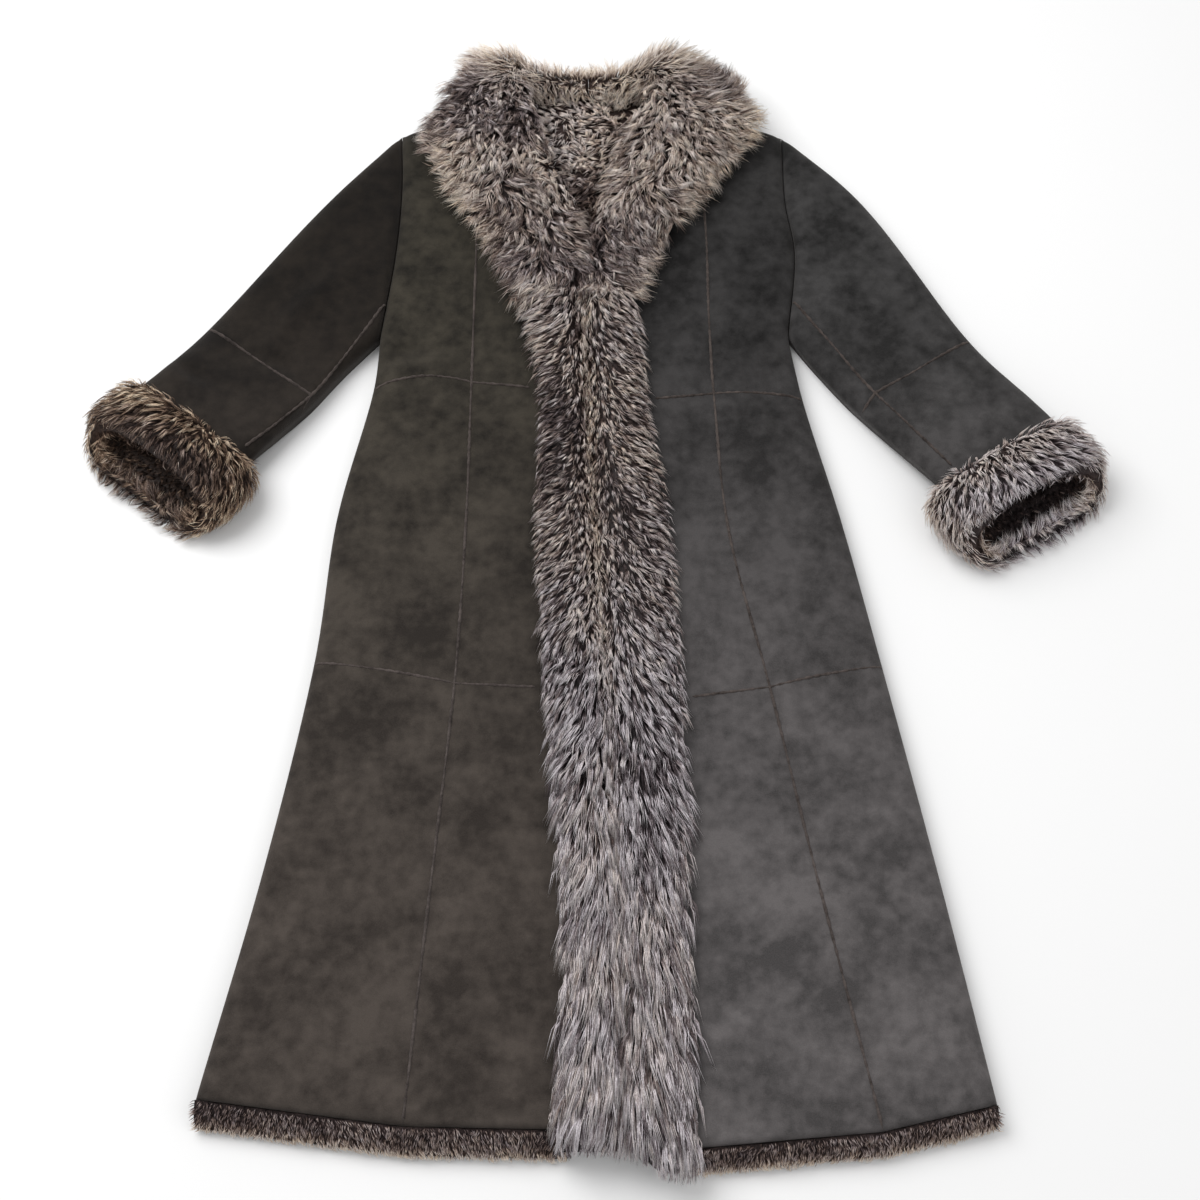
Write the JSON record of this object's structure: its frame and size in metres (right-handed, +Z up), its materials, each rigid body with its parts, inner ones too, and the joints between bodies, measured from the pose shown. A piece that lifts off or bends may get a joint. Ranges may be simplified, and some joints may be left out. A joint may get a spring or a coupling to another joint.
{
  "type": "shearling coat",
  "caption": "Long flared shearling coat laid flat face up, with a wide fur shawl collar, fur front edges and turned-back fur cuffs.",
  "frame": {"origin": "middle of the flat underside of the coat as it lies", "axes": "+Y from the hem to the collar, +X to the wearer's left as the coat lies face up, +Z up from the surface"},
  "size_m": [1.1387, 1.336, 0.0799],
  "materials": {
    "suede": "matt dark grey-brown suede with brushed patches",
    "fur": "long grey fur with dark roots and pale tips",
    "wool": "short dense grey-brown wool"
  },
  "bodies": {
    "root": {"back": "suede", "back_neck_wool": "wool", "left_front_upper_centre": "suede", "left_front_upper_side": "suede", "left_front_middle_centre": "suede", "left_front_middle_side": "suede", "left_front_lower_centre": "suede", "left_front_lower_side": "suede", "left_sleeve_upper_top": "suede", "left_sleeve_upper_under": "suede", "left_sleeve_lower_top": "suede", "left_sleeve_lower_under": "suede", "left_sleeve_back": "suede", "left_cuff": "fur", "left_collar": "fur", "left_front_fur": "fur", "left_hem_wool": "wool", "right_front_upper_centre": "suede", "right_front_upper_side": "suede", "right_front_middle_centre": "suede", "right_front_middle_side": "suede", "right_front_lower_centre": "suede", "right_front_lower_side": "suede", "right_sleeve_upper_top": "suede", "right_sleeve_upper_under": "suede", "right_sleeve_lower_top": "suede", "right_sleeve_lower_under": "suede", "right_sleeve_back": "suede", "right_cuff": "fur", "right_collar": "fur", "right_front_fur": "fur", "right_hem_wool": "wool"}
  },
  "joints": []
}
